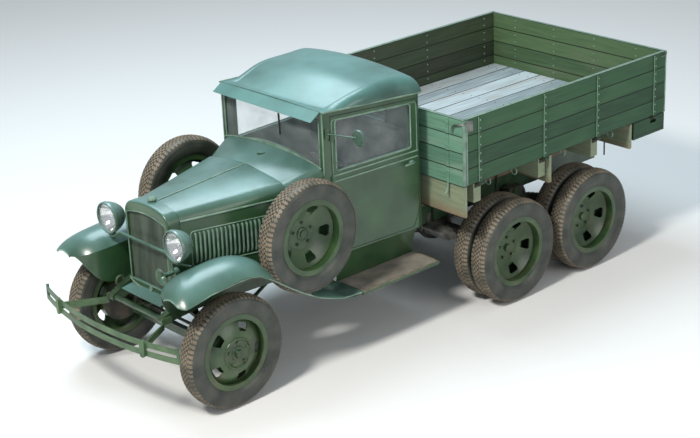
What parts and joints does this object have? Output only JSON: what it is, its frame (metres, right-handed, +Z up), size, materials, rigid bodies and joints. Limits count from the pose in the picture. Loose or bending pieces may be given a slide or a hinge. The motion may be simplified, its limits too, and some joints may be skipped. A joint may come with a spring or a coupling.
{
  "type": "cargo truck",
  "caption": "Six-wheeled military cargo truck with a closed cab, a folding louvred hood, spare wheels beside it and an open plank bed with drop sides.",
  "frame": {"origin": "on the floor, under the middle of the whole truck", "axes": "+Z up, -Y forwards, +X to the truck's left"},
  "size_m": [2.06, 5.2918, 2.08],
  "materials": {
    "body_paint": "satin",
    "lamp_paint": "satin",
    "bare_metal": "worn",
    "dark_metal": "matt",
    "casting": "rough",
    "core": "matt",
    "tyre": "matt",
    "boards": "worn paint",
    "floor_planks": "worn",
    "glass": "clear",
    "lens": "clear",
    "seat_cover": "worn",
    "grip": "gloss"
  },
  "bodies": {
    "chassis": {"frame_rails": "dark_metal", "cross_members": "dark_metal", "front_axle": "dark_metal", "front_spring": "dark_metal", "rear_axle_1": "casting", "rear_axle_2": "casting", "bogie_springs": "dark_metal", "engine_gearbox": "casting", "drive_shafts": "bare_metal", "exhaust": "bare_metal", "radiator_core": "core", "radiator_shell": "body_paint", "bumper": "body_paint", "front_fenders": "body_paint", "running_boards": "body_paint", "lamp_bar": "body_paint", "headlamps": "lamp_paint", "headlamp_lenses": "lens", "cowl": "body_paint", "cab_shell": "body_paint", "roof": "body_paint", "cab_glass": "glass", "seat": "seat_cover", "steering_column": "dark_metal", "mirror": "body_paint", "spare_wheels": "body_paint", "spare_tyres": "tyre", "bed_floor": "floor_planks", "bed_beams": "boards", "hinge_brackets": "dark_metal", "headboard": "boards", "locker": "body_paint", "hood_side_left": "body_paint", "hood_side_right": "body_paint"},
    "knuckle_left": {"knuckle_left": "casting"},
    "knuckle_right": {"knuckle_right": "casting"},
    "tie_rod": {"tie_rod": "dark_metal"},
    "front_wheel_left": {"front_wheel_left": "body_paint", "front_tyre_left": "tyre"},
    "front_wheel_right": {"front_wheel_right": "body_paint", "front_tyre_right": "tyre"},
    "rear_wheels_1_left": {"rear_wheels_1_left": "body_paint", "rear_tyres_1_left": "tyre"},
    "rear_wheels_1_right": {"rear_wheels_1_right": "body_paint", "rear_tyres_1_right": "tyre"},
    "rear_wheels_2_left": {"rear_wheels_2_left": "body_paint", "rear_tyres_2_left": "tyre"},
    "rear_wheels_2_right": {"rear_wheels_2_right": "body_paint", "rear_tyres_2_right": "tyre"},
    "steering_wheel": {"steering_wheel": "grip"},
    "hood_top_left": {"hood_top_left": "body_paint"},
    "hood_top_right": {"hood_top_right": "body_paint"},
    "door_left": {"door_left": "body_paint", "door_glass_left": "glass"},
    "door_right": {"door_right": "body_paint", "door_glass_right": "glass"},
    "side_left": {"side_left": "boards"},
    "side_right": {"side_right": "boards"},
    "tailgate": {"tailgate": "boards"}
  },
  "joints": [
    {"name": "steer_left", "type": "hinge", "parent": "chassis", "child": "knuckle_left", "pos_m": [0.612, -1.956, 0.433], "axis": [0, 0, 1], "range_deg": [-28, 28]},
    {"name": "steer_right", "type": "hinge", "parent": "chassis", "child": "knuckle_right", "pos_m": [-0.612, -1.956, 0.433], "axis": [0, 0, 1], "range_deg": [-28, 28]},
    {"name": "tie_rod_left", "type": "hinge", "parent": "knuckle_left", "child": "tie_rod", "pos_m": [0.612, -1.806, 0.371], "axis": [0, 0, 1], "range_deg": [-28, 28]},
    {"name": "front_spin_left", "type": "hinge", "parent": "knuckle_left", "child": "front_wheel_left", "pos_m": [0.7025, -1.956, 0.433], "axis": [1, 0, 0], "continuous": true},
    {"name": "front_spin_right", "type": "hinge", "parent": "knuckle_right", "child": "front_wheel_right", "pos_m": [-0.7025, -1.956, 0.433], "axis": [1, 0, 0], "continuous": true},
    {"name": "steering_wheel_turn", "type": "hinge", "parent": "chassis", "child": "steering_wheel", "pos_m": [0.3, -0.561, 1.372], "axis": [0, 0.6418, 0.7669], "range_deg": [-364, 364]},
    {"name": "rear_spin_1_left", "type": "hinge", "parent": "chassis", "child": "rear_wheels_1_left", "pos_m": [0.835, 0.782, 0.433], "axis": [1, 0, 0], "continuous": true},
    {"name": "rear_spin_1_right", "type": "hinge", "parent": "chassis", "child": "rear_wheels_1_right", "pos_m": [-0.835, 0.782, 0.433], "axis": [1, 0, 0], "continuous": true},
    {"name": "rear_spin_2_left", "type": "hinge", "parent": "chassis", "child": "rear_wheels_2_left", "pos_m": [0.835, 1.711, 0.433], "axis": [1, 0, 0], "continuous": true},
    {"name": "rear_spin_2_right", "type": "hinge", "parent": "chassis", "child": "rear_wheels_2_right", "pos_m": [-0.835, 1.711, 0.433], "axis": [1, 0, 0], "continuous": true},
    {"name": "hood_top_left", "type": "hinge", "parent": "chassis", "child": "hood_top_left", "pos_m": [0.013, -1.596, 1.45396], "axis": [0, -0.9974, -0.0727], "range_deg": [0, 75]},
    {"name": "door_left", "type": "hinge", "parent": "chassis", "child": "door_left", "pos_m": [0.602, -0.831, 1.3], "axis": [0, 0, -1], "range_deg": [0, 48]},
    {"name": "side_left", "type": "hinge", "parent": "chassis", "child": "side_left", "pos_m": [1.019, 1.344, 1.154], "axis": [0, 1, 0], "range_deg": [0, 175]},
    {"name": "hood_top_right", "type": "hinge", "parent": "chassis", "child": "hood_top_right", "pos_m": [-0.013, -1.596, 1.45396], "axis": [0, 0.9974, 0.0727], "range_deg": [0, 75]},
    {"name": "door_right", "type": "hinge", "parent": "chassis", "child": "door_right", "pos_m": [-0.602, -0.831, 1.3], "axis": [0, 0, 1], "range_deg": [0, 48]},
    {"name": "side_right", "type": "hinge", "parent": "chassis", "child": "side_right", "pos_m": [-1.019, 1.344, 1.154], "axis": [0, -1, 0], "range_deg": [0, 175]},
    {"name": "tailgate", "type": "hinge", "parent": "chassis", "child": "tailgate", "pos_m": [0, 2.635, 1.154], "axis": [-1, 0, 0], "range_deg": [0, 175]}
  ],
  "couplings": [
    {"joint": "steer_right", "follows": "steer_left", "ratio": 1},
    {"joint": "tie_rod_left", "follows": "steer_left", "ratio": -1},
    {"joint": "steering_wheel_turn", "follows": "steer_left", "ratio": 13}
  ]
}
